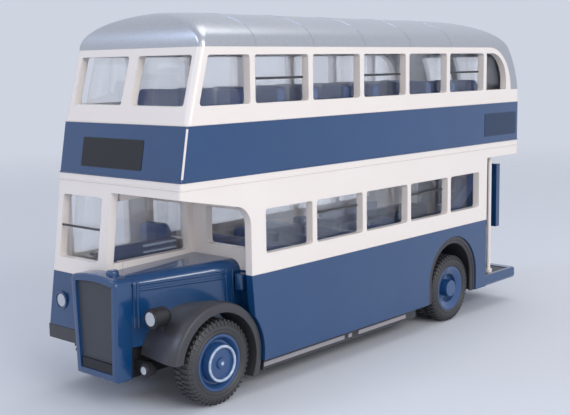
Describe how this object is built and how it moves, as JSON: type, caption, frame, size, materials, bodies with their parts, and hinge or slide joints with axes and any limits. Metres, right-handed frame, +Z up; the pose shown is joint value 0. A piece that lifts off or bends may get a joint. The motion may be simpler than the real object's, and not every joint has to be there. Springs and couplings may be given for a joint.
{
  "type": "die-cast scale model half-cab double decker bus",
  "caption": "Free-rolling scale model of a half-cab double decker bus: hollow glazed body over two decks, seats, open rear platform with pole, and wheels turning on axles.",
  "frame": {"origin": "middle of the length and width, on the surface that the tyres stand on", "axes": "+X forward, +Y to the nearside, where the platform opens, +Z up"},
  "size_m": [0.104, 0.03, 0.0608],
  "materials": {
    "blue_paint": "gloss paint on die-cast metal",
    "cream_paint": "gloss paint on die-cast metal",
    "silver_paint": "metallic silver paint",
    "seat_plastic": "moulded blue plastic",
    "clear_plastic": "clear moulded plastic",
    "grille_plastic": "matt dark grey",
    "black_plastic": "satin black",
    "lens_plastic": "silvered lens",
    "wheel_blue": "blue moulded wheel",
    "tyre_rubber": "matt black",
    "axle_steel": "plain steel"
  },
  "bodies": {
    "bus": {"bonnet": "blue_paint", "cab_glazing": "clear_plastic", "chassis": "black_plastic", "deck_band": "blue_paint", "driver_seat": "seat_plastic", "fog_lamp": "black_plastic", "fog_lamp_lens": "lens_plastic", "lower_glazing": "clear_plastic", "lower_panels": "blue_paint", "lower_seats": "seat_plastic", "lower_window_band": "cream_paint", "nearside_arch_liner": "black_plastic", "nearside_front_wing": "black_plastic", "nearside_headlamp": "black_plastic", "nearside_headlamp_lens": "lens_plastic", "nearside_side_rail": "black_plastic", "offside_arch_liner": "black_plastic", "offside_front_wing": "black_plastic", "offside_headlamp": "black_plastic", "offside_headlamp_lens": "lens_plastic", "offside_side_rail": "black_plastic", "platform": "blue_paint", "platform_pole": "cream_paint", "platform_tread": "black_plastic", "radiator_grille": "grille_plastic", "radiator_shell": "blue_paint", "rear_panel": "blue_paint", "roof": "silver_paint", "staircase": "seat_plastic", "steering_wheel": "black_plastic", "upper_floor": "cream_paint", "upper_glazing": "clear_plastic", "upper_seats": "seat_plastic", "upper_window_band": "cream_paint"},
    "front_axle_set": {"front_axle": "axle_steel", "nearside_front_tyre": "tyre_rubber", "nearside_front_wheel": "wheel_blue", "offside_front_tyre": "tyre_rubber", "offside_front_wheel": "wheel_blue"},
    "rear_axle_set": {"nearside_rear_tyre": "tyre_rubber", "nearside_rear_wheel": "wheel_blue", "offside_rear_tyre": "tyre_rubber", "offside_rear_wheel": "wheel_blue", "rear_axle": "axle_steel"}
  },
  "joints": [
    {"name": "front_axle_spin", "type": "hinge", "parent": "bus", "child": "front_axle_set", "pos_m": [0.0393, 0, 0.00675], "axis": [0, 1, 0], "continuous": true},
    {"name": "rear_axle_spin", "type": "hinge", "parent": "bus", "child": "rear_axle_set", "pos_m": [-0.0262, 0, 0.00675], "axis": [0, 1, 0], "continuous": true}
  ]
}
